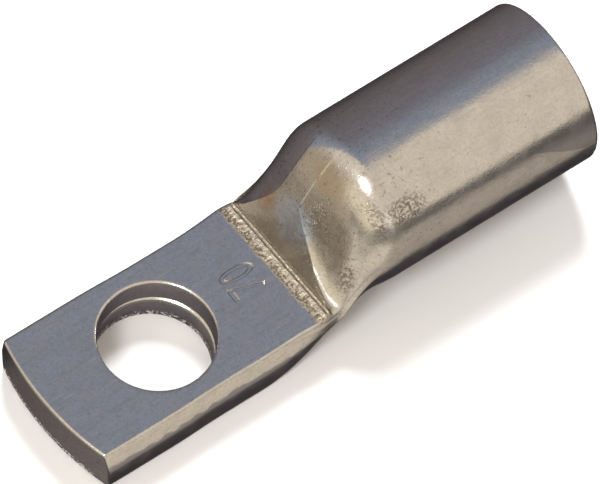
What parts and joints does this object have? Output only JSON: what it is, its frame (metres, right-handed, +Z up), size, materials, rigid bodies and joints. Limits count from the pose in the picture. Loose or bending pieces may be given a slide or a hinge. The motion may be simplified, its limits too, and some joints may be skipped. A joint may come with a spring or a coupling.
{
  "type": "tubular cable lug",
  "caption": "Tin-plated copper tube lug: a round barrel that takes a stranded conductor, pressed at one end into a narrow flat palm with a bolt hole.",
  "frame": {"origin": "on the axis of the bolt hole, level with the palm's underside", "axes": "+X along the lug to the open end of the barrel, +Z up out of the bolt hole, +Y by the right-hand rule"},
  "size_m": [0.0536, 0.0154, 0.0166],
  "materials": {
    "tin_plate": "bright tin plate over copper, lightly pitted and scuffed"
  },
  "bodies": {
    "root": {"cable_lug": "tin_plate"}
  },
  "joints": []
}
